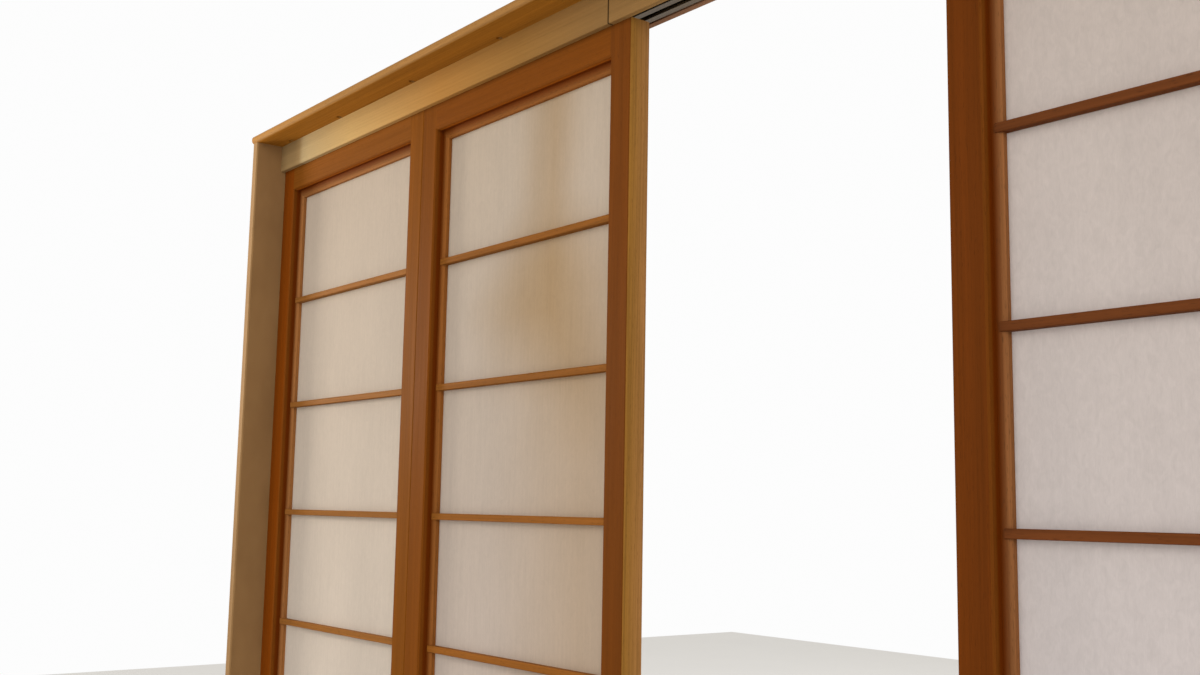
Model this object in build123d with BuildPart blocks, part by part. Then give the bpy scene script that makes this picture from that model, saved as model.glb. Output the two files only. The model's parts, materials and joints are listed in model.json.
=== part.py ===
# Shoji sliding panels in a frame with two head tracks.
# Two panels stand edge to edge in the front track, and one stands in the rear track beyond the doorway.
# X runs along the wall, Y goes through it, +Z is up. The origin is the middle of the frame's foot.
import os

from build123d import *

os.makedirs("parts", exist_ok=True)

# Panel frame
panel_width = 640
panel_thickness = 40
stile_width = 50
top_rail_height = 52
bottom_rail_height = 62
eased_edge = 2.5
outer_chamfer = 1
tenon_length = 32
tenon_thickness = 12
tenon_shoulder = 8
tongue_thickness = 19
tongue_reach = 4

# Lattice, kumiko bars and paper
lattice_recess = 17
lattice_depth = 11
lattice_side_width = 14
lattice_end_height = 17
lattice_bevel_width = 5
lattice_bevel_depth = 4
first_row_height = 237
row_height = 229
kumiko_count = 6
kumiko_height = 12
kumiko_proud = 2
kumiko_lap = 3
kumiko_lap_depth = 6
kumiko_eased_edge = 1
paper_thickness = 0.5
paper_margin = 2

# Frame of the opening
doorway_width = 568
meeting_gap = 1
passing_gap = 3
jamb_thickness = 24
jamb_depth = 170
head_thickness = 18
head_overhang = 76
nosing_radius = 7
dado_depth = 5
sill_thickness = 24
groove_depth = 6
side_play = 1
sill_gap = 4
head_room = 59

# Boards that hide the tracks
fascia_thickness = 10
fascia_gap = 1
fascia_lap = 2
fascia_chamfer = 1
fascia_joint_inside_panel = 43.5
fascia_seam = 0.6
rear_lip_thickness = 12
rear_lip_gap = 3

# Holes through the head board
head_hole_radius = 6
head_hole_setback = 58
head_hole_pitch = 313
head_hole_count = 7
end_hole_inset = 88.5

# Head tracks and what fixes them
track_width = 36
track_height = 35
track_wall = 2
track_slot = 12
lip_width = 1.5
lip_height = 2
screw_count = 5
screw_radius = 2
screw_length = 14
screw_head_radius = 4
screw_head_height = 2.2
screw_end_distance = 60
stop_length = 30
stop_height = 14
stop_play = 0.7

# Roller hangers
hanger_inset = 110
wheel_radius = 10
wheel_width = 7
wheel_chamfer = 1
wheel_spacing = 8
wheel_lift = 0.3
hub_radius = 4
hub_play = 0.4
axle_radius = 2.5
axle_play = 0.05
carriage_length = 28
carriage_width = 10
carriage_height = 14
carriage_corner = 4
bolt_radius = 4
bolt_play = 1
bolt_bite = 12
nut_across_flats = 13
nut_height = 6
plate_length = 60
plate_width = 20
plate_thickness = 4

# Heights
sill_top = sill_thickness
panel_bottom = sill_top + sill_gap
lattice_bottom = panel_bottom + bottom_rail_height
rows_height = first_row_height + kumiko_count * (kumiko_height + row_height)
clear_height = rows_height + 2 * lattice_end_height
rail_underside = lattice_bottom + clear_height
panel_top = rail_underside + top_rail_height
panel_height = panel_top - panel_bottom
head_underside = panel_top + head_room
head_top = head_underside + head_thickness
track_bottom = head_underside - track_height
wheel_z = track_bottom + track_wall + wheel_lift + wheel_radius

# Places along the wall
clear_width = panel_width - 2 * stile_width
opening_width = 3 * panel_width + doorway_width + 3 * meeting_gap
left_edge = -opening_width / 2
panel_left_x = {
    "left_panel": left_edge + meeting_gap,
    "middle_panel": left_edge + 2 * meeting_gap + panel_width,
    "right_panel": -left_edge - meeting_gap - panel_width,
}
head_length = opening_width + 2 * jamb_thickness
hanger_offset = panel_width / 2 - hanger_inset

# Places through the wall
behind_front_row = 2 * panel_thickness + passing_gap + rear_lip_gap + rear_lip_thickness
head_depth = head_overhang + behind_front_row
sill_depth = fascia_thickness + fascia_gap + behind_front_row
front_y = head_overhang - head_depth / 2
rear_y = front_y + panel_thickness + passing_gap
frame_back_y = head_depth / 2
panel_front_y = {"left_panel": front_y, "middle_panel": front_y, "right_panel": rear_y}
fascia_back_y = front_y - fascia_gap
track_y = {
    "front_track": front_y + panel_thickness / 2,
    "rear_track": rear_y + panel_thickness / 2,
}


def write(sub_part, name):
    sub_part.part.label = name
    export_step(sub_part.part, f"parts/{name}.step")


def rectangle_at(low_x, high_x, low_y, high_y):
    with Locations(((low_x + high_x) / 2, (low_y + high_y) / 2)):
        Rectangle(high_x - low_x, high_y - low_y)


def opening_funnel(middle_x, face_y, low_z, high_z, width, reach, depth):
    # Widens an opening towards its face, so that the edges round it are cut at a slant with mitred corners
    with BuildSketch(Plane((middle_x, face_y, (low_z + high_z) / 2), (1, 0, 0), (0, -1, 0))) as mouth:
        Rectangle(width + 2 * reach, high_z - low_z + 2 * reach)
    with BuildSketch(Plane((middle_x, face_y + depth, (low_z + high_z) / 2), (1, 0, 0), (0, -1, 0))) as throat:
        Rectangle(width, high_z - low_z)
    loft(sections=[mouth.sketch, throat.sketch], mode=Mode.SUBTRACT)


def hanger_places(panel):
    middle_x = panel_left_x[panel] + panel_width / 2
    return {"left": middle_x - hanger_offset, "right": middle_x + hanger_offset}


# Upright of a panel, with a mortise for each rail
def build_stile(panel, side):
    low_x = panel_left_x[panel] + (0 if side == "left" else panel_width - stile_width)
    face_y = panel_front_y[panel]
    tenon_x = low_x + (stile_width - tenon_length if side == "left" else 0)
    rails = [(panel_bottom, bottom_rail_height), (rail_underside, top_rail_height)]
    with BuildPart() as stile:
        with BuildSketch(Plane.XY.offset(panel_bottom)):
            rectangle_at(low_x, low_x + stile_width, face_y, face_y + panel_thickness)
        extrude(amount=panel_height)
        for rail_z, rail_height in rails:
            with BuildSketch(Plane.XY.offset(rail_z + tenon_shoulder)):
                rectangle_at(
                    tenon_x, tenon_x + tenon_length,
                    face_y + (panel_thickness - tenon_thickness) / 2,
                    face_y + (panel_thickness + tenon_thickness) / 2,
                )
            extrude(amount=rail_height - 2 * tenon_shoulder, mode=Mode.SUBTRACT)
        outer_face = stile.faces().sort_by(Axis.X)[0 if side == "left" else -1]
        chamfer(outer_face.edges().filter_by(Axis.Z), outer_chamfer)
        middle_x = panel_left_x[panel] + panel_width / 2
        opening_funnel(middle_x, face_y, lattice_bottom, rail_underside, clear_width, eased_edge, eased_edge)
    write(stile, f"{panel}_{side}_stile")


# Cross member of a panel, with a tenon at each end
def build_rail(panel, place):
    low_z = rail_underside if place == "top" else panel_bottom
    rail_height = top_rail_height if place == "top" else bottom_rail_height
    face_y = panel_front_y[panel]
    low_x = panel_left_x[panel] + stile_width
    middle_x = panel_left_x[panel] + panel_width / 2
    middle_y = face_y + panel_thickness / 2
    with BuildPart() as rail:
        with BuildSketch(Plane.XY.offset(low_z)):
            rectangle_at(low_x, low_x + clear_width, face_y, face_y + panel_thickness)
        extrude(amount=rail_height)
        with BuildSketch(Plane.XY.offset(low_z + tenon_shoulder)):
            with Locations((middle_x, middle_y)):
                Rectangle(clear_width + 2 * tenon_length, tenon_thickness)
        extrude(amount=rail_height - 2 * tenon_shoulder)
        opening_funnel(middle_x, face_y, lattice_bottom, rail_underside, clear_width, eased_edge, eased_edge)
        if place == "top":
            with BuildSketch(Plane.XY.offset(panel_top - plate_thickness)):
                with Locations(*[(x, middle_y) for x in hanger_places(panel).values()]):
                    Rectangle(plate_length, plate_width)
            extrude(amount=plate_thickness, mode=Mode.SUBTRACT)
            with BuildSketch(Plane.XY.offset(panel_top - plate_thickness - bolt_bite - bolt_play)):
                with Locations(*[(x, middle_y) for x in hanger_places(panel).values()]):
                    Circle(bolt_radius + bolt_play)
            extrude(amount=bolt_bite + bolt_play, mode=Mode.SUBTRACT)
        else:
            with BuildSketch(Plane.XY.offset(sill_top - tongue_reach)):
                with Locations((middle_x, middle_y)):
                    Rectangle(clear_width, tongue_thickness)
            extrude(amount=tongue_reach + sill_gap)
    write(rail, f"{panel}_{place}_rail")


# Inner lattice frame: two uprights and two end pieces, bevelled towards the paper
def build_lattice_frame(panel):
    face_y = panel_front_y[panel] + lattice_recess
    low_x = panel_left_x[panel] + stile_width
    high_x = low_x + clear_width
    middle_x = (low_x + high_x) / 2
    window_width = clear_width - 2 * lattice_side_width
    window_bottom = lattice_bottom + lattice_end_height
    uprights = [(low_x, low_x + lattice_side_width), (high_x - lattice_side_width, high_x)]
    ends = [lattice_bottom, rail_underside - lattice_end_height]
    with BuildPart() as lattice_frame:
        with BuildSketch(Plane.XY.offset(lattice_bottom)):
            for upright_low, upright_high in uprights:
                rectangle_at(upright_low, upright_high, face_y, face_y + lattice_depth)
        extrude(amount=clear_height)
        opening_funnel(
            middle_x, face_y, window_bottom, window_bottom + rows_height,
            window_width, lattice_bevel_width, lattice_bevel_depth,
        )
        for kumiko_z in kumiko_heights():
            with BuildSketch(Plane.XY.offset(kumiko_z)):
                with Locations((middle_x, face_y + kumiko_notch_depth() / 2)):
                    Rectangle(kumiko_length(), kumiko_notch_depth())
            extrude(amount=kumiko_height, mode=Mode.SUBTRACT)
    with BuildPart() as end_pieces:
        for end_z in ends:
            with BuildSketch(Plane.XY.offset(end_z)):
                with Locations((middle_x, face_y + lattice_depth / 2)):
                    Rectangle(window_width, lattice_depth)
            extrude(amount=lattice_end_height)
        opening_funnel(
            middle_x, face_y, window_bottom, window_bottom + rows_height,
            window_width, lattice_bevel_width, lattice_bevel_depth,
        )
    lattice_frame.part = Compound(children=[*lattice_frame.solids(), *end_pieces.solids()])
    lattice_frame.part.label = f"{panel}_lattice_frame"
    export_step(lattice_frame.part, f"parts/{panel}_lattice_frame.step")


def kumiko_heights():
    top_z = lattice_bottom + lattice_end_height + rows_height - first_row_height - kumiko_height
    return [top_z - row * (kumiko_height + row_height) for row in range(kumiko_count)]


def kumiko_length():
    return clear_width - 2 * lattice_side_width + 2 * (lattice_bevel_width + kumiko_lap)


def kumiko_notch_depth():
    return kumiko_lap_depth - kumiko_proud


# One cross bar, whose thinner ends lap over the bevel of the lattice frame
def build_kumiko(panel, number, low_z):
    face_y = panel_front_y[panel] + lattice_recess - kumiko_proud
    middle_x = panel_left_x[panel] + panel_width / 2
    with BuildPart() as kumiko:
        with BuildSketch(Plane.XY.offset(low_z)):
            with Locations((middle_x, face_y + kumiko_lap_depth / 2)):
                Rectangle(kumiko_length(), kumiko_lap_depth)
            with Locations((middle_x, face_y + (kumiko_proud + lattice_depth) / 2)):
                Rectangle(clear_width - 2 * lattice_side_width, kumiko_proud + lattice_depth)
        extrude(amount=kumiko_height)
        front_face = kumiko.faces().sort_by(Axis.Y)[0]
        chamfer(front_face.edges().filter_by(Axis.X), kumiko_eased_edge)
    write(kumiko, f"{panel}_kumiko_{number}")


# Sheet of paper on the back of the lattice
def build_paper(panel):
    back_y = panel_front_y[panel] + lattice_recess + lattice_depth
    middle_x = panel_left_x[panel] + panel_width / 2
    with BuildPart() as paper:
        with BuildSketch(Plane.XY.offset(lattice_bottom + paper_margin)):
            with Locations((middle_x, back_y + paper_thickness / 2)):
                Rectangle(clear_width - 2 * paper_margin, paper_thickness)
        extrude(amount=clear_height - 2 * paper_margin)
    write(paper, f"{panel}_paper")


# Two steel plates let into the top rail
def build_hanger_plates(panel):
    middle_y = panel_front_y[panel] + panel_thickness / 2
    with BuildPart() as plates:
        with BuildSketch(Plane.XY.offset(panel_top - plate_thickness)):
            for x in hanger_places(panel).values():
                with Locations((x, middle_y)):
                    Rectangle(plate_length, plate_width)
                    Circle(bolt_radius, mode=Mode.SUBTRACT)
        extrude(amount=plate_thickness)
    write(plates, f"{panel}_hanger_plates")


# Two carriages, each with its hanging bolt and lock nut
def build_carriages(panel):
    middle_y = panel_front_y[panel] + panel_thickness / 2
    bolt_foot = panel_top - plate_thickness - bolt_bite
    with BuildPart() as carriages:
        for x in hanger_places(panel).values():
            with BuildSketch(Plane.XY.offset(wheel_z - carriage_height / 2)):
                with Locations((x, middle_y)):
                    RectangleRounded(carriage_length, carriage_width, carriage_corner)
            extrude(amount=carriage_height)
            with BuildSketch(Plane((x, middle_y, wheel_z), (1, 0, 0), (0, -1, 0))):
                Circle(axle_radius + axle_play)
            extrude(amount=carriage_width, both=True, mode=Mode.SUBTRACT)
            with BuildSketch(Plane.XY.offset(bolt_foot)):
                with Locations((x, middle_y)):
                    Circle(bolt_radius)
            extrude(amount=wheel_z - carriage_height / 2 - bolt_foot)
            with BuildSketch(Plane.XY.offset(panel_top)):
                with Locations((x, middle_y)):
                    RegularPolygon(nut_across_flats / 2, 6, major_radius=False)
            extrude(amount=nut_height)
    write(carriages, f"{panel}_carriages")


# Two wheels on one axle, turned as one piece
def build_wheels(panel, side):
    x = hanger_places(panel)[side]
    middle_y = panel_front_y[panel] + panel_thickness / 2
    inner = wheel_spacing
    outer = wheel_spacing + wheel_width
    hub_end = carriage_width / 2 + hub_play
    half_profile = [
        (axle_radius, 0), (axle_radius, hub_end), (hub_radius, hub_end), (hub_radius, inner),
        (wheel_radius - wheel_chamfer, inner), (wheel_radius, inner + wheel_chamfer),
        (wheel_radius, outer - wheel_chamfer), (wheel_radius - wheel_chamfer, outer), (0, outer),
    ]
    with BuildPart() as wheels:
        with BuildSketch(Plane((x, middle_y, wheel_z))):
            with BuildLine():
                Polyline((0, 0), *half_profile, close=True)
            make_face()
            mirror(about=Plane.XZ)
        revolve(axis=Axis((x, middle_y, wheel_z), (0, 1, 0)))
    write(wheels, f"{panel}_wheels_{side}")


# Board over the opening, with a rounded front edge and open holes for its fixings
def build_head_board():
    with BuildPart() as head_board:
        with BuildSketch(Plane.XY.offset(head_underside)):
            Rectangle(head_length, head_depth)
        extrude(amount=head_thickness)
        front_edges = head_board.faces().sort_by(Axis.Y)[0].edges().filter_by(Axis.X)
        fillet(front_edges, nosing_radius)
        with BuildSketch(Plane.XY.offset(head_underside)):
            with Locations((0, head_hole_setback - head_depth / 2)):
                with GridLocations(head_hole_pitch, 1, head_hole_count, 1):
                    Circle(head_hole_radius)
                with GridLocations(head_length - 2 * end_hole_inset, 1, 2, 1):
                    Circle(head_hole_radius)
        extrude(amount=head_thickness, mode=Mode.SUBTRACT)
        with BuildSketch(Plane.XY.offset(head_underside)):
            for x in (left_edge - jamb_thickness / 2, -left_edge + jamb_thickness / 2):
                with Locations((x, frame_back_y - jamb_depth / 2)):
                    Rectangle(jamb_thickness, jamb_depth)
        extrude(amount=dado_depth, mode=Mode.SUBTRACT)
        with BuildSketch(Plane.XY.offset(head_underside)):
            with Locations(*screw_places()):
                Circle(screw_radius)
        extrude(amount=screw_length - track_wall, mode=Mode.SUBTRACT)
    write(head_board, "head_board")


# Side board of the opening, housed in the head board
def build_jamb(side):
    middle_x = (left_edge - jamb_thickness / 2) * (1 if side == "left" else -1)
    with BuildPart() as jamb:
        with BuildSketch():
            with Locations((middle_x, frame_back_y - jamb_depth / 2)):
                Rectangle(jamb_thickness, jamb_depth)
        extrude(amount=head_underside + dado_depth)
        front_edges = jamb.faces().sort_by(Axis.Y)[0].edges().filter_by(Axis.Z)
        chamfer(front_edges, eased_edge)
    write(jamb, f"{side}_jamb")


# Floor board with a groove under each row of panels
def build_sill():
    groove_width = tongue_thickness + 2 * side_play
    with BuildPart() as sill:
        with BuildSketch():
            with Locations((0, frame_back_y - sill_depth / 2)):
                Rectangle(opening_width, sill_depth)
        extrude(amount=sill_thickness)
        with BuildSketch(Plane.XY.offset(sill_top - groove_depth)):
            with Locations(*[(0, y) for y in track_y.values()]):
                Rectangle(opening_width, groove_width)
        extrude(amount=groove_depth, mode=Mode.SUBTRACT)
        front_edge = sill.faces().sort_by(Axis.Y)[0].edges().filter_by(Axis.X).sort_by(Axis.Z)[-1]
        chamfer(front_edge, eased_edge)
    write(sill, "sill")


# Board in front of the tracks, in two lengths that meet near the doorway's edge
def build_fascia():
    joint_x = panel_left_x["middle_panel"] + panel_width - fascia_joint_inside_panel
    low_z = panel_top - fascia_lap
    lengths = {
        "fascia_left_length": (left_edge, joint_x - fascia_seam / 2),
        "fascia_right_length": (joint_x + fascia_seam / 2, -left_edge),
    }
    for name, (low_x, high_x) in lengths.items():
        with BuildPart() as fascia:
            with BuildSketch(Plane.XY.offset(low_z)):
                rectangle_at(low_x, high_x, fascia_back_y - fascia_thickness, fascia_back_y)
            extrude(amount=head_underside - low_z)
            lower_edges = fascia.faces().sort_by(Axis.Z)[0].edges().filter_by(Axis.X)
            chamfer(lower_edges.sort_by(Axis.Y)[0], fascia_chamfer)
        write(fascia, name)


# Narrow board behind the tracks
def build_rear_lip():
    with BuildPart() as rear_lip:
        with BuildSketch(Plane.XY.offset(track_bottom)):
            rectangle_at(left_edge, -left_edge, frame_back_y - rear_lip_thickness, frame_back_y)
        extrude(amount=track_height)
    write(rear_lip, "rear_lip")


def screw_places():
    run = opening_width - 2 * screw_end_distance
    pitch = run / (screw_count - 1)
    return [(-run / 2 + number * pitch, y) for y in track_y.values() for number in range(screw_count)]


# Slotted channel that the wheels run in
def build_track(name):
    half_width = track_width / 2
    lip_outer = track_slot / 2 + lip_width
    with BuildPart() as track:
        with BuildSketch(Plane((left_edge, track_y[name], track_bottom), (0, 1, 0), (1, 0, 0))):
            rectangle_at(-half_width, half_width, 0, track_height)
            with Locations((0, track_height / 2)):
                Rectangle(track_width - 2 * track_wall, track_height - 2 * track_wall, mode=Mode.SUBTRACT)
            rectangle_at(-lip_outer, lip_outer, 0, track_wall + lip_height)
            with Locations((0, (track_wall + lip_height) / 2)):
                Rectangle(track_slot, track_wall + lip_height, mode=Mode.SUBTRACT)
        extrude(amount=opening_width)
        with BuildSketch(Plane.XY.offset(head_underside - track_wall)):
            with Locations(*[place for place in screw_places() if place[1] == track_y[name]]):
                Circle(screw_radius)
        extrude(amount=track_wall, mode=Mode.SUBTRACT)
    write(track, name)


# Screws that hold the tracks to the head board
def build_track_screws():
    with BuildPart() as screws:
        with BuildSketch(Plane.XY.offset(head_underside - track_wall - screw_head_height)):
            with Locations(*screw_places()):
                Circle(screw_head_radius)
        extrude(amount=screw_head_height)
        with BuildSketch(Plane.XY.offset(head_underside - track_wall)):
            with Locations(*screw_places()):
                Circle(screw_radius)
        extrude(amount=screw_length)
    write(screws, "track_screws")


# Rubber blocks that stop the outermost carriage at each end of a track
def build_track_stops():
    stop_width = 2 * (wheel_spacing + wheel_width)
    stop_edge = opening_width / 2 - meeting_gap - hanger_inset + carriage_length / 2 + stop_play
    with BuildPart() as stops:
        with BuildSketch(Plane.XY.offset(track_bottom + track_wall + lip_height)):
            for y in track_y.values():
                for x in (-stop_edge - stop_length / 2, stop_edge + stop_length / 2):
                    with Locations((x, y)):
                        Rectangle(stop_length, stop_width)
        extrude(amount=stop_height)
    write(stops, "track_stops")


for panel in panel_left_x:
    for side in ("left", "right"):
        build_stile(panel, side)
        build_wheels(panel, side)
    for place in ("top", "bottom"):
        build_rail(panel, place)
    build_lattice_frame(panel)
    for number, low_z in enumerate(kumiko_heights(), start=1):
        build_kumiko(panel, number, low_z)
    build_paper(panel)
    build_hanger_plates(panel)
    build_carriages(panel)

build_head_board()
build_jamb("left")
build_jamb("right")
build_sill()
build_fascia()
build_rear_lip()
build_track("front_track")
build_track("rear_track")
build_track_screws()
build_track_stops()
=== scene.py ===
import json
import math
import random

import bpy
from mathutils import Matrix, Vector


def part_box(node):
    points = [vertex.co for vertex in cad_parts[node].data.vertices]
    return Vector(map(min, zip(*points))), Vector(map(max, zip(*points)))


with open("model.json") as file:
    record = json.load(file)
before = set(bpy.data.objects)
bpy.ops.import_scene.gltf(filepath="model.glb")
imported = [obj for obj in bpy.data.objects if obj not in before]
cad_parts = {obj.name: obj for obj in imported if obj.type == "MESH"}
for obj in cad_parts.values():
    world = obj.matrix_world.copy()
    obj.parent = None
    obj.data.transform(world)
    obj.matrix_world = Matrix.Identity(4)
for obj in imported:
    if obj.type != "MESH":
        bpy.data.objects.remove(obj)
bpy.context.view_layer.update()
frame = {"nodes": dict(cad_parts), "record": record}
print("frame loaded with", len(frame["nodes"]), "nodes")

# the viewpoint of the picture, in front of the right-hand end and looking left along the panels
photoCamera = {
    "place": (1.5531, -1.2465, 1.0868),
    "yaw": 51.991,
    "pitch": 7.520,
    "roll": 1.001,
    "focalPixels": 1287.9,
    "photoWidth": 1200,
    "sensorWidth": 36,
    "nearest": 0.02,
    "farthest": 100,
}


def makeCamera(look):
    yaw, pitch, roll = (math.radians(look[name]) for name in ("yaw", "pitch", "roll"))
    forward = Vector((-math.sin(yaw) * math.cos(pitch), math.cos(yaw) * math.cos(pitch), math.sin(pitch)))
    level = Vector((math.cos(yaw), math.sin(yaw), 0))
    upright = level.cross(forward)
    right = math.cos(roll) * level + math.sin(roll) * upright
    up = math.cos(roll) * upright - math.sin(roll) * level
    data = bpy.data.cameras.new("photoCamera")
    data.sensor_width = look["sensorWidth"]
    data.lens = look["focalPixels"] / look["photoWidth"] * look["sensorWidth"]
    data.clip_start = look["nearest"]
    data.clip_end = look["farthest"]
    camera = bpy.data.objects.new("photoCamera", data)
    bpy.context.scene.collection.objects.link(camera)
    turned = Matrix((right, up, -forward)).transposed().to_4x4()
    camera.matrix_world = Matrix.Translation(Vector(look["place"])) @ turned
    bpy.context.scene.camera = camera


# colours are written as they look, from 0 to 255, and turned into light values here
def paint(red, green, blue):
    def straight(value):
        share = value / 255
        return share / 12.92 if share <= 0.04045 else ((share + 0.055) / 1.055) ** 2.4
    return (straight(red), straight(green), straight(blue), 1)


def toned(colour, tone):
    return paint(*(channel * tone for channel in colour))


def newMaterial(name):
    material = bpy.data.materials.new(name)
    material.use_nodes = True
    tree = material.node_tree
    shader = tree.nodes["Principled BSDF"]
    return material, tree, shader


def addNode(tree, kind, **settings):
    node = tree.nodes.new(kind)
    for name, value in settings.items():
        setattr(node, name, value)
    return node


def objectPlace(tree):
    return addNode(tree, "ShaderNodeTexCoord").outputs["Object"]


def splitAxes(tree, vector):
    split = addNode(tree, "ShaderNodeSeparateXYZ")
    tree.links.new(vector, split.inputs["Vector"])
    return split


def ownOffset(seed, reach=40):
    # every piece is cut from another part of the pattern
    draw = random.Random(seed)
    return tuple(draw.uniform(-reach, reach) for axis in range(3))


def noiseAlong(tree, coordinates, cells, detail=3.0, roughness=0.6, offset=(0, 0, 0), distortion=0.0):
    # noise with as many cells per metre as is asked in each direction
    stretch = addNode(tree, "ShaderNodeMapping")
    stretch.inputs["Scale"].default_value = cells
    stretch.inputs["Location"].default_value = offset
    tree.links.new(coordinates, stretch.inputs["Vector"])
    noise = addNode(tree, "ShaderNodeTexNoise")
    noise.inputs["Scale"].default_value = 1
    noise.inputs["Detail"].default_value = detail
    noise.inputs["Roughness"].default_value = roughness
    noise.inputs["Distortion"].default_value = distortion
    tree.links.new(stretch.outputs["Vector"], noise.inputs["Vector"])
    return noise.outputs["Fac"]


def between(tree, value, low, high, toLow=0.0, toHigh=1.0, smooth=False):
    # carries the span from low to high over to the span from toLow to toHigh
    span = addNode(tree, "ShaderNodeMapRange")
    if smooth:
        span.interpolation_type = "SMOOTHSTEP"
    for name, number in (("From Min", low), ("From Max", high), ("To Min", toLow), ("To Max", toHigh)):
        span.inputs[name].default_value = number
    tree.links.new(value, span.inputs["Value"])
    return span.outputs["Result"]


def fed(tree, pairs):
    for socket, given in pairs:
        if isinstance(given, bpy.types.NodeSocket):
            tree.links.new(given, socket)
        else:
            socket.default_value = given


def mixed(tree, share, first, second, blend="MIX"):
    mix = addNode(tree, "ShaderNodeMix", data_type="RGBA", blend_type=blend)
    fed(tree, ((mix.inputs["Factor"], share), (mix.inputs["A"], first), (mix.inputs["B"], second)))
    return mix.outputs["Result"]


def calculated(tree, operation, first, second=0.0):
    maths = addNode(tree, "ShaderNodeMath", operation=operation)
    fed(tree, zip(maths.inputs, (first, second)))
    return maths.outputs["Value"]


def apart(tree, value, middle):
    # how far a value lies from a middle, on either side of it
    return calculated(tree, "ABSOLUTE", calculated(tree, "SUBTRACT", value, middle))


def weighted(tree, parts):
    # sum of several values, each times its share
    total = None
    for value, share in parts:
        part = calculated(tree, "MULTIPLY", value, share)
        total = part if total is None else calculated(tree, "ADD", total, part)
    return total


def ramped(tree, value, stops):
    ramp = addNode(tree, "ShaderNodeValToRGB")
    elements = ramp.color_ramp.elements
    while len(elements) < len(stops):
        elements.new(0.5)
    for element, (position, colour) in zip(elements, stops):
        element.position = position
        element.color = colour
    tree.links.new(value, ramp.inputs["Fac"])
    return ramp.outputs["Color"]


def facing(tree, axis, sign, low=0.9, high=0.95):
    # 1 on the faces that look along one direction, 0 on the others
    side = splitAxes(tree, addNode(tree, "ShaderNodeTexCoord").outputs["Normal"])
    return between(tree, calculated(tree, "MULTIPLY", side.outputs[axis], sign), low, high)


def bumped(tree, shader, height, distance):
    bump = addNode(tree, "ShaderNodeBump")
    bump.inputs["Distance"].default_value = distance
    tree.links.new(height, bump.inputs["Height"])
    tree.links.new(bump.outputs["Normal"], shader.inputs["Normal"])


# how each kind of board looks, with the cells per metre across the grain and along it
stainedWood = {
    "tint": (102, 54, 11),
    # the inner face's tone is painted light, lighter than the face as if lit, and the corner's tone is painted shade
    "inner": (114, 63, 17),
    "cornerShade": (104, 46, 5),
    "pale": (151, 106, 45),
    "paleRear": (158, 112, 65),
    "contrast": 0.09,
    "bands": (48, 0.8),
    "lines": (310, 3.0),
    "fibres": (1900, 26),
    "flecks": (900, 75),
    "fleckShare": 0.12,
    "sway": 0.004,
    "roughness": 0.55,
    "shine": 0.02,
    "bump": 0.00010,
}
# the lattice frame's lighter factor for its edge beside the paper is a painted highlight
latticeWood = dict(
    stainedWood, tint=(128, 79, 36), contrast=0.12, fleckShare=0.2, bands=(70, 1.6), bevelHighlight=1.13,
)
# the head's front tone is a painted highlight on its lit nosing
headWood = dict(
    stainedWood, tint=(150, 98, 32), contrast=0.13, front=(152, 110, 60), top=(186, 146, 96), bands=(34, 0.7),
)
sillWood = dict(stainedWood, tint=(124, 78, 36), contrast=0.16, shine=0.15)
fasciaWood = dict(
    stainedWood, tint=(176, 140, 92), contrast=0.06, bands=(40, 0.6), lines=(240, 2.4), fleckShare=0.05,
    roughness=0.62, seam=(58, 42, 22),
    # the tones along the fascia are partly its own and partly painted light; the first, darkest stop is a painted
    # shadow
    along=((-1.15, (154, 127, 86)), (-1.13, (175, 154, 114)), (-0.90, (194, 160, 104)),
           (-0.53, (181, 132, 69)), (-0.26, (155, 114, 60)), (-0.03, (143, 109, 65))),
)
lipWood = dict(stainedWood, tint=(138, 100, 74), contrast=0.12, roughness=0.62)

# stain of single boards, where it differs from the rest of its kind; partly their own tone and partly painted light:
# lighter on the left panel and darker on the right one, which stood in shade
boardStainAndLight = {
    "left_panel_left_stile": (124, 61, 9),
    "left_panel_top_rail": (120, 69, 18),
    "left_panel_right_stile": (118, 67, 13),
    "left_panel_lattice_frame": (136, 90, 50),
    "middle_panel_left_stile": (110, 60, 10),
    "middle_panel_top_rail": (113, 61, 11),
    "middle_panel_right_stile": (105, 56, 12),
    "right_panel_left_stile": (100, 49, 9),
    "right_panel_lattice_frame": (130, 85, 50),
}
# the kumiko tints are partly their own tone and partly painted light: lighter on the left panel, darker on the right
# one
kumikoStainAndLight = {"left": (136, 88, 40), "middle": (130, 80, 30), "right": (99, 55, 27)}

# what every board's grain has in common; a span is the part of a noise that is used, from one end to the other
woodGrain = {
    "driftCells": 1.3,
    "driftDetail": 1.0,
    "driftReach": 4,
    "roughness": 0.55,
    "detail": {"bands": 2.0, "lines": 3.0, "fibres": 2.0, "flecks": 1.0},
    "growthShares": {"bands": 0.38, "lines": 0.36, "fibres": 0.26},
    "growthSpan": (0.34, 0.66),
    "fleckSpan": (0.36, 0.30),
    "fleckGain": 2.5,
    "fleckTone": 0.62,
    "sheenSpan": (0.3, 0.7),
    "sheenSteps": (0.08, -0.04),
    "bumpShares": {"lines": 0.6, "fibres": 0.4},
}

# where edges change tone, in metres: depths from a panel's front face, widths outwards from the lattice's window;
# the corner and border tones are painted shade, the rail, bevel and nosing tones painted light
boardEdges = {
    "paleDepths": (0.006, 0.038),
    "paleLineSpan": (0.54, 0.40),
    "paleLineShare": 0.35,
    "paleLineTone": 0.8,
    "innerFacing": (0.5, 0.8),
    "cornerShadeDepths": (0.0075, 0.0112),
    "railLitDepths": (0.001, 0.009),
    "railLitTone": 1.42,
    "railCornerShadeDepths": (0.0098, 0.0112),
    "borderShadeOfSide": (0.002, 0.013),
    "borderShadeOfEnd": (0.002, 0.016),
    "borderShadeShare": 0.95,
    "bevelHighlightWidths": (0.005, 0.0),
    "seamWidths": (0.0022, 0.0006),
    "frontFacing": (0.15, 0.6),
    "latticeSide": 0.014,
    "latticeEnd": 0.017,
}


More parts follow.
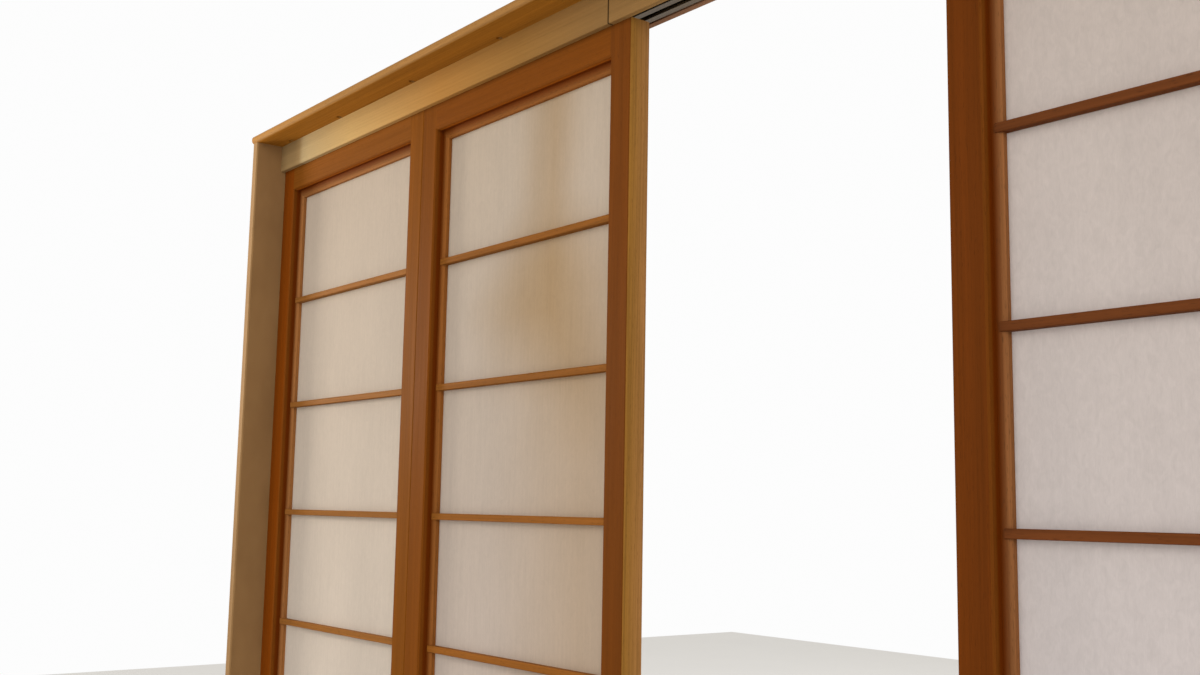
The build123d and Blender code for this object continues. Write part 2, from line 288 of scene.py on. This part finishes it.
def swayed(tree, place, offset, sway):
    # lets the grain wander a few millimetres to each side, as in a real board
    shift = addNode(tree, "ShaderNodeMapping")
    shift.inputs["Location"].default_value = offset
    tree.links.new(place, shift.inputs["Vector"])
    drift = addNode(tree, "ShaderNodeTexNoise")
    drift.inputs["Scale"].default_value = woodGrain["driftCells"]
    drift.inputs["Detail"].default_value = woodGrain["driftDetail"]
    tree.links.new(shift.outputs["Vector"], drift.inputs["Vector"])
    centred = addNode(tree, "ShaderNodeVectorMath", operation="SUBTRACT")
    tree.links.new(drift.outputs["Color"], centred.inputs[0])
    centred.inputs[1].default_value = (0.5, 0.5, 0.5)
    scaled = addNode(tree, "ShaderNodeVectorMath", operation="SCALE")
    tree.links.new(centred.outputs["Vector"], scaled.inputs[0])
    scaled.inputs["Scale"].default_value = sway * woodGrain["driftReach"]
    moved = addNode(tree, "ShaderNodeVectorMath", operation="ADD")
    tree.links.new(place, moved.inputs[0])
    tree.links.new(scaled.outputs["Vector"], moved.inputs[1])
    return moved.outputs["Vector"]


def latticeWindow(low, high):
    # the opening of a lattice frame, from the node's own box
    return {
        "middleX": (low[0] + high[0]) / 2,
        "middleZ": (low[2] + high[2]) / 2,
        "halfWidth": (high[0] - low[0]) / 2 - boardEdges["latticeSide"],
        "halfHeight": (high[2] - low[2]) / 2 - boardEdges["latticeEnd"],
    }


def makeWood(name, look, grainAxis, seed, tint, site):
    # straight-grained board: broad bands, fine growth lines, hair-thin fibres and short flecks
    material, tree, shader = newMaterial(name)
    place = objectPlace(tree)
    offset = ownOffset(seed)
    grain = swayed(tree, place, offset, look["sway"])
    split = splitAxes(tree, place)
    window, edges = site["window"], boardEdges
    if window:
        # the short top and bottom pieces of a lattice frame have their grain lying level
        across = apart(tree, split.outputs["X"], window["middleX"])
        above = apart(tree, split.outputs["Z"], window["middleZ"])
        inside = calculated(tree, "LESS_THAN", across, window["halfWidth"])
        level = calculated(tree, "MULTIPLY", inside, calculated(tree, "GREATER_THAN", above, window["halfHeight"]))

    def streaks(kind):
        crosswise, lengthwise = look[kind]
        cells = tuple(lengthwise if axis == grainAxis else crosswise for axis in range(3))
        detail = woodGrain["detail"][kind]
        noise = noiseAlong(tree, grain, cells, detail, woodGrain["roughness"], offset)
        if window:
            turned = (lengthwise, crosswise, crosswise)
            crossing = noiseAlong(tree, grain, turned, detail, woodGrain["roughness"], offset)
            noise = weighted(tree, ((noise, calculated(tree, "SUBTRACT", 1.0, level)), (crossing, level)))
        return noise

    noises = {kind: streaks(kind) for kind in woodGrain["detail"]}
    growth = weighted(tree, ((noises[kind], share) for kind, share in woodGrain["growthShares"].items()))
    share = between(tree, growth, *woodGrain["growthSpan"])

    def grained(middle):
        low, high = (toned(middle, 1 + side * look["contrast"]) for side in (-1, 1))
        return ramped(tree, share, ((0.0, low), (0.5, paint(*middle)), (1.0, high)))

    def inwards(depths):
        near, far = (site["front"] + depth for depth in depths)
        return between(tree, split.outputs["Y"], near, far)

    if "along" in look:
        # the board's tone changes slowly over its length, partly its own tone and partly painted light: paler
        # towards the lit left end and darker to the right, with a painted shadow over the last part at the far left
        # end
        first, last = look["along"][0][0], look["along"][-1][0]
        stops = [((where - first) / (last - first), paint(*shade)) for where, shade in look["along"]]
        toneAndLight = ramped(tree, between(tree, split.outputs["X"], first, last), stops)
        darkest = toned((255, 255, 255), 1 - 2 * look["contrast"])
        spread = ramped(tree, share, ((0.0, darkest), (1.0, (1, 1, 1, 1))))
        colour = mixed(tree, 1.0, toneAndLight, spread, "MULTIPLY")
    else:
        colour = grained(tint)
    if site["paleSide"]:
        # the panel's outer edge is left unstained, so that its growth lines show
        bare = mixed(tree, inwards(edges["paleDepths"]), grained(look["pale"]), grained(look["paleRear"]))
        line = between(tree, noises["lines"], *edges["paleLineSpan"], 0.0, edges["paleLineShare"])
        bare = mixed(tree, line, bare, toned(look["pale"], edges["paleLineTone"]))
        colour = mixed(tree, facing(tree, *site["paleSide"]), colour, bare)
    if site["innerSide"]:
        # painted light and shade round the lattice: the inner face is painted lighter, as if lit, the corner with
        # the lattice is painted dark as shade, and under the top rail a painted light makes the wood lighter deeper
        # into the recess, up to the corner
        inner, cornerShadeDepths = grained(look["inner"]), edges["cornerShadeDepths"]
        if site["innerSide"] == ("Z", -1):
            inner = mixed(tree, inwards(edges["railLitDepths"]), inner, toned(look["inner"], edges["railLitTone"]))
            cornerShadeDepths = edges["railCornerShadeDepths"]
        edgeLightAndShade = mixed(tree, inwards(cornerShadeDepths), inner, paint(*look["cornerShade"]))
        colour = mixed(tree, facing(tree, *site["innerSide"], *edges["innerFacing"]), colour, edgeLightAndShade)
    if window:
        # painted shade darkens the lattice frame's outer border, and a painted highlight lightens its edge beside
        # the paper
        fromSide = calculated(tree, "SUBTRACT", across, window["halfWidth"])
        fromEnd = calculated(tree, "SUBTRACT", above, window["halfHeight"])
        toSide = between(tree, fromSide, *edges["borderShadeOfSide"])
        toEnd = between(tree, fromEnd, *edges["borderShadeOfEnd"])
        borderShade = calculated(tree, "MULTIPLY", calculated(tree, "MAXIMUM", toSide, toEnd), edges["borderShadeShare"])
        colour = mixed(tree, borderShade, colour, paint(*look["cornerShade"]))
        edgeLightAndShade = between(tree, calculated(tree, "MAXIMUM", fromSide, fromEnd), *edges["bevelHighlightWidths"])
        colour = mixed(tree, edgeLightAndShade, colour, grained(tuple(channel * look["bevelHighlight"] for channel in tint)))
    if site["seamAt"] is not None:
        # the butt joint between the two lengths shows as a dark line
        aside = apart(tree, split.outputs["X"], site["seamAt"])
        colour = mixed(tree, between(tree, aside, *edges["seamWidths"]), colour, paint(*look["seam"]))
    if "front" in look:
        # painted highlight: the rounded front edge is painted paler, as where it is lit
        colour = mixed(tree, facing(tree, "Y", -1, *edges["frontFacing"]), colour, grained(look["front"]))
    if "top" in look:
        # the upper face was left rawer than the rest
        colour = mixed(tree, facing(tree, "Z", 1), colour, grained(look["top"]))
    fleck = between(tree, noises["flecks"], *woodGrain["fleckSpan"])
    fleck = calculated(tree, "MULTIPLY", fleck, look["fleckShare"] * woodGrain["fleckGain"])
    colour = mixed(tree, fleck, colour, toned(tint, woodGrain["fleckTone"]))
    tree.links.new(colour, shader.inputs["Base Color"])
    dull, shiny = (look["roughness"] + step for step in woodGrain["sheenSteps"])
    sheen = between(tree, noises["lines"], *woodGrain["sheenSpan"], dull, shiny)
    tree.links.new(sheen, shader.inputs["Roughness"])
    shader.inputs["Specular IOR Level"].default_value = look["shine"]
    relief = weighted(tree, ((noises[kind], share) for kind, share in woodGrain["bumpShares"].items()))
    bumped(tree, shader, relief, look["bump"])
    return material


# paper of each panel, with its tone at the top and lower down; the darker tone at the top is painted shade under the
# head
warmPaper = {
    "high": (210, 197, 182),
    "low": (222, 213, 203),
    "lowEnds": 0.5,
    "spread": 0.045,
    "fibreShares": {"clouds": 0.28, "strands": 0.26, "mottle": 0.24, "hairs": 0.22},
    "fibreSpan": (0.30, 0.70),
    "roughness": 0.9,
    "shine": 0.08,
    "fibreBump": 0.00004,
    "bumpShares": {"mottle": 0.5, "hairs": 0.5},
    "glow": 0.43,
}
# the right panel's paper is painted whiter and cooler, as painted light from behind
backlitPaper = dict(
    warmPaper, high=(217, 207, 200), low=(224, 219, 220),
    fibreShares={"clouds": 0.28, "strands": 0.1, "mottle": 0.4, "hairs": 0.22},
)

# the painted shadow streak's middle and half width low down and high up, and the heights between which they and its
# strength change
paperShadowStreak = {
    "colour": (188, 161, 123),
    "middle": (-0.1, -0.2),
    "drifts": (1.25, 1.42),
    "half": (0.16, 0.09),
    "narrows": (1.45, 1.62),
    "strength": (0.46, 0.9),
    "gathers": (1.15, 1.42),
    "topStrength": 0.76,
    "pales": (1.5, 1.58),
    "wander": 0.1,
    "fadeOut": (2.1, 0.2),
}
# the middle panel's paper is painted darker, as painted shade, and carries the painted shadow streak
streakShadedPaper = dict(warmPaper, high=(208, 195, 179), low=(213, 202, 194), shadowStreak=paperShadowStreak)

# cells per metre, detail, roughness and distortion of each noise in the paper
paperFibres = {
    "clouds": ((5, 5, 1.8), 2.0, 0.5, 0.0),
    "strands": ((210, 210, 9), 3.0, 0.6, 0.0),
    "mottle": ((95, 95, 60), 4.0, 0.62, 1.2),
    "hairs": ((900, 900, 120), 2.0, 0.55, 0.6),
}


def shadowStreaked(tree, split, clouds, colour, shadowStreak):
    # painted shadow: a faint brown streak of shade runs down the sheet, broader and a little aside lower down
    height = split.outputs["Z"]
    middle = between(tree, height, *shadowStreak["drifts"], *shadowStreak["middle"])
    aside = apart(tree, split.outputs["X"], middle)
    half = between(tree, height, *shadowStreak["narrows"], *shadowStreak["half"])
    wander = calculated(tree, "ADD", aside, calculated(tree, "MULTIPLY", clouds, shadowStreak["wander"]))
    band = between(tree, calculated(tree, "DIVIDE", wander, half), *shadowStreak["fadeOut"], smooth=True)
    fading = between(tree, height, *shadowStreak["gathers"], *shadowStreak["strength"])
    paling = between(tree, height, *shadowStreak["pales"], 1.0, shadowStreak["topStrength"])
    strength = calculated(tree, "MULTIPLY", fading, paling)
    return mixed(tree, calculated(tree, "MULTIPLY", band, strength), colour, paint(*shadowStreak["colour"]))


def makePaper(name, look, seed, low, high):
    # long-fibred paper, mottled and with fine upright strands, which lets light from behind through
    material, tree, shader = newMaterial(name)
    place = objectPlace(tree)
    offset = ownOffset(seed)
    noises = {
        kind: noiseAlong(tree, place, cells, detail, roughness, offset, distortion)
        for kind, (cells, detail, roughness, distortion) in paperFibres.items()
    }
    split = splitAxes(tree, place)
    # painted shade: the sheet is painted darker towards the top, under the head
    topShade = between(tree, split.outputs["Z"], low[2] + look["lowEnds"], high[2])
    colour = mixed(tree, topShade, paint(*look["low"]), paint(*look["high"]))
    # painted shadow: a brown streak of shade down the sheet
    if "shadowStreak" in look:
        colour = shadowStreaked(tree, split, noises["clouds"], colour, look["shadowStreak"])
    mixture = weighted(tree, ((noises[kind], share) for kind, share in look["fibreShares"].items()))
    share = between(tree, mixture, *look["fibreSpan"])
    dark = toned((255, 255, 255), 1 - 2 * look["spread"])
    colour = mixed(tree, 1.0, colour, mixed(tree, share, dark, (1, 1, 1, 1)), "MULTIPLY")
    tree.links.new(colour, shader.inputs["Base Color"])
    shader.inputs["Roughness"].default_value = look["roughness"]
    shader.inputs["Specular IOR Level"].default_value = look["shine"]
    relief = weighted(tree, ((noises[kind], share) for kind, share in look["bumpShares"].items()))
    bumped(tree, shader, relief, look["fibreBump"])
    through = addNode(tree, "ShaderNodeBsdfTranslucent")
    tree.links.new(colour, through.inputs["Color"])
    blend = addNode(tree, "ShaderNodeMixShader")
    blend.inputs["Fac"].default_value = look["glow"]
    tree.links.new(shader.outputs["BSDF"], blend.inputs[1])
    tree.links.new(through.outputs["BSDF"], blend.inputs[2])
    tree.links.new(blend.outputs["Shader"], tree.nodes["Material Output"].inputs["Surface"])
    return material


jambLook = {
    "dark": (138, 105, 65),
    "light": (149, 115, 73),
    "dapple": (500, 500, 420),
    "cloud": (9, 9, 5),
    "cloudSpan": (0.35, 0.65),
    "roughness": 0.85,
    "shine": 0.25,
    "bump": 0.0002,
}


def makePaintedBoard(name, look):
    # smooth matte paint with the soft dapple of a roller
    material, tree, shader = newMaterial(name)
    place = objectPlace(tree)
    dapple = noiseAlong(tree, place, look["dapple"])
    share = between(tree, noiseAlong(tree, place, look["cloud"]), *look["cloudSpan"])
    tree.links.new(mixed(tree, share, paint(*look["dark"]), paint(*look["light"])), shader.inputs["Base Color"])
    shader.inputs["Roughness"].default_value = look["roughness"]
    shader.inputs["Specular IOR Level"].default_value = look["shine"]
    bumped(tree, shader, dapple, look["bump"])
    return material


trackLook = {
    "dark": (72, 58, 40),
    "light": (112, 94, 68),
    "lines": (1.5, 900, 900),
    "smudge": (9, 30, 30),
    "lineShare": 0.7,
    "toneSpan": (0.38, 0.62),
    "metallic": 0.6,
    "roughness": 0.42,
    "sheenSpan": (0.3, 0.7),
    "sheenSteps": (-0.05, 0.1),
    "bump": 0.00005,
}


def makeTrackMetal(name, look):
    # dark anodised channel with the fine lengthwise lines of its drawing
    material, tree, shader = newMaterial(name)
    place = objectPlace(tree)
    lines = noiseAlong(tree, place, look["lines"])
    smudge = noiseAlong(tree, place, look["smudge"])
    tone = weighted(tree, ((lines, look["lineShare"]), (smudge, 1 - look["lineShare"])))
    share = between(tree, tone, *look["toneSpan"])
    tree.links.new(mixed(tree, share, paint(*look["dark"]), paint(*look["light"])), shader.inputs["Base Color"])
    shader.inputs["Metallic"].default_value = look["metallic"]
    shiny, dull = (look["roughness"] + step for step in look["sheenSteps"])
    tree.links.new(between(tree, smudge, *look["sheenSpan"], shiny, dull), shader.inputs["Roughness"])
    bumped(tree, shader, lines, look["bump"])
    return material


steelLook = {
    "colour": (168, 168, 164),
    "lowTone": 0.86,
    "cloud": (260, 260, 260),
    "cloudSpan": (0.35, 0.65),
    "grain": (3000, 3000, 3000),
    "roughness": 0.36,
    "sheenSpan": (0.3, 0.7),
    "sheenSteps": (-0.06, 0.1),
    "bump": 0.00003,
}


def makeSteel(name, look):
    # zinc plate: slightly clouded bright grey
    material, tree, shader = newMaterial(name)
    place = objectPlace(tree)
    cloud = noiseAlong(tree, place, look["cloud"], detail=4.0)
    grain = noiseAlong(tree, place, look["grain"], detail=2.0, roughness=0.5)
    share = between(tree, cloud, *look["cloudSpan"])
    colour = mixed(tree, share, toned(look["colour"], look["lowTone"]), paint(*look["colour"]))
    tree.links.new(colour, shader.inputs["Base Color"])
    shader.inputs["Metallic"].default_value = 1.0
    shiny, dull = (look["roughness"] + step for step in look["sheenSteps"])
    tree.links.new(between(tree, cloud, *look["sheenSpan"], shiny, dull), shader.inputs["Roughness"])
    bumped(tree, shader, grain, look["bump"])
    return material


nylonLook = {
    "colour": (206, 203, 192),
    "lowTone": 0.9,
    "cloud": (90, 90, 90),
    "cloudSpan": (0.35, 0.65),
    "grain": (1500, 1500, 1500),
    "roughness": 0.5,
    "bump": 0.00004,
}
rubberLook = dict(nylonLook, colour=(26, 25, 24), roughness=0.8, bump=0.0001)


def makeMoulded(name, look):
    # moulded plastic or rubber with a faint satin texture and slight unevenness of tone
    material, tree, shader = newMaterial(name)
    place = objectPlace(tree)
    grain = noiseAlong(tree, place, look["grain"])
    cloud = noiseAlong(tree, place, look["cloud"], detail=2.0, roughness=0.5)
    share = between(tree, cloud, *look["cloudSpan"])
    colour = mixed(tree, share, toned(look["colour"], look["lowTone"]), paint(*look["colour"]))
    tree.links.new(colour, shader.inputs["Base Color"])
    shader.inputs["Roughness"].default_value = look["roughness"]
    bumped(tree, shader, grain, look["bump"])
    return material


# which finish each slot of the record takes, and along which axis a board's grain runs
alongX, alongZ = 0, 2
boardFinish = {
    "head_wood": (headWood, alongX),
    "sill_wood": (sillWood, alongX),
    "fascia_wood": (fasciaWood, alongX),
    "lip_wood": (lipWood, alongX),
    "stile_wood": (stainedWood, alongZ),
    "rail_wood": (stainedWood, alongX),
    "lattice_wood": (latticeWood, alongZ),
    "kumiko_wood": (latticeWood, alongX),
}
panelPaper = {"left": warmPaper, "middle": streakShadedPaper, "right": backlitPaper}

# the side of a board that faces out of its panel, and the one that faces the lattice
outerSide = {"left_stile": ("X", -1), "right_stile": ("X", 1)}
innerSide = {"left_stile": ("X", 1), "right_stile": ("X", -1), "top_rail": ("Z", -1), "bottom_rail": ("Z", 1)}

# how much the stain may differ from board to board
boardTones = {"seed": 7, "low": 0.97, "high": 1.03}


def dressNodes():
    slots = {row["node"]: row["material_slot"] for row in frame["record"]["subparts"]}
    shared = {
        "jamb_board": makePaintedBoard("jambPaint", jambLook),
        "track_metal": makeTrackMetal("trackMetal", trackLook),
        "steel": makeSteel("zincSteel", steelLook),
        "wheel_plastic": makeMoulded("wheelNylon", nylonLook),
        "stop_rubber": makeMoulded("stopRubber", rubberLook),
    }
    tones = random.Random(boardTones["seed"])
    for number, (name, node) in enumerate(sorted(frame["nodes"].items())):
        slot = slots[name]
        panel = name.split("_")[0] if "_panel_" in name else None
        if slot in shared:
            material = shared[slot]
        elif slot == "shoji_paper":
            material = makePaper(name + "_finish", panelPaper[panel], number, *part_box(name))
        else:
            look, grainAxis = boardFinish[slot]
            piece = "_".join(name.split("_")[2:])
            low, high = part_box(name)
            site = {
                "front": low[1],
                "paleSide": outerSide.get(piece),
                "innerSide": innerSide.get(piece),
                "window": latticeWindow(low, high) if piece == "lattice_frame" else None,
                "seamAt": {"fascia_left_length": high[0], "fascia_right_length": low[0]}.get(name),
            }
            tone = tones.uniform(boardTones["low"], boardTones["high"])
            tint = boardStainAndLight.get(name) or (kumikoStainAndLight[panel] if slot == "kumiko_wood" else look["tint"])
            tint = tuple(channel * tone for channel in tint)
            material = makeWood(name + "_finish", look, grainAxis, number, tint, site)
        node.data.materials.clear()
        node.data.materials.append(material)


# pale floor and soft light
studio = {
    "floorSize": 14,
    "floorColour": (226, 224, 220),
    "floorLowTone": 0.985,
    "floorCloud": (2, 2, 2),
    "floorRoughness": 0.9,
    "worldColour": (255, 253, 250),
    "worldStrength": 0.84,
    "backdropStrength": 0.98,
    "lamps": {
        "frontLeft": {
            "place": (-2.4, -5.6, 3.6), "aim": (-0.3, 0, 1.0), "size": 4.0, "power": 80, "colour": (255, 247, 236),
        },
        "sideLeft": {
            "place": (-2.5, -0.80, 1.6), "aim": (-0.9, 0, 1.9), "size": 0.4, "power": 24, "colour": (255, 244, 228),
        },
        "frontRight": {
            "place": (4.8, -3.6, 3.0), "aim": (0, 0, 1.1), "size": 3.2, "power": 84, "colour": (255, 249, 242),
        },
        "behind": {
            "place": (0.3, 5.8, 3.8), "aim": (0, 0, 1.0), "size": 4.4, "power": 138, "colour": (246, 249, 255),
        },
    },
}


def makeStage(look):
    bpy.ops.object.select_all(action="DESELECT")
    bpy.ops.mesh.primitive_plane_add(size=look["floorSize"])
    floor = bpy.context.active_object
    floor.name = "floor"
    material, tree, shader = newMaterial("paleFloor")
    cloud = noiseAlong(tree, objectPlace(tree), look["floorCloud"])
    colour = mixed(tree, cloud, toned(look["floorColour"], look["floorLowTone"]), paint(*look["floorColour"]))
    tree.links.new(colour, shader.inputs["Base Color"])
    shader.inputs["Roughness"].default_value = look["floorRoughness"]
    floor.data.materials.append(material)


def makeLight(look):
    world = bpy.data.worlds.new("studio")
    bpy.context.scene.world = world
    world.use_nodes = True
    tree = world.node_tree
    tree.nodes.clear()
    seen = addNode(tree, "ShaderNodeLightPath")
    shown = calculated(tree, "MAXIMUM", seen.outputs["Is Camera Ray"], seen.outputs["Is Glossy Ray"])
    shown = calculated(tree, "MAXIMUM", shown, seen.outputs["Is Transmission Ray"])
    light = addNode(tree, "ShaderNodeBackground")
    light.inputs["Color"].default_value = paint(*look["worldColour"])
    light.inputs["Strength"].default_value = look["worldStrength"]
    backdrop = addNode(tree, "ShaderNodeBackground")
    backdrop.inputs["Color"].default_value = (1, 1, 1, 1)
    backdrop.inputs["Strength"].default_value = look["backdropStrength"]
    mix = addNode(tree, "ShaderNodeMixShader")
    tree.links.new(shown, mix.inputs["Fac"])
    tree.links.new(light.outputs["Background"], mix.inputs[1])
    tree.links.new(backdrop.outputs["Background"], mix.inputs[2])
    tree.links.new(mix.outputs["Shader"], addNode(tree, "ShaderNodeOutputWorld").inputs["Surface"])
    for name, lamp in look["lamps"].items():
        data = bpy.data.lights.new(name, "AREA")
        data.size = lamp["size"]
        data.energy = lamp["power"]
        data.color = paint(*lamp["colour"])[:3]
        holder = bpy.data.objects.new(name, data)
        bpy.context.scene.collection.objects.link(holder)
        holder.location = lamp["place"]
        holder.rotation_euler = (Vector(lamp["aim"]) - Vector(lamp["place"])).to_track_quat("-Z", "Y").to_euler()


makeCamera(photoCamera)
print("camera placed")
dressNodes()
print("boards, paper and metal finished")
makeStage(studio)
makeLight(studio)
bpy.context.scene.view_settings.view_transform = "Standard"
print("floor and lamps placed")
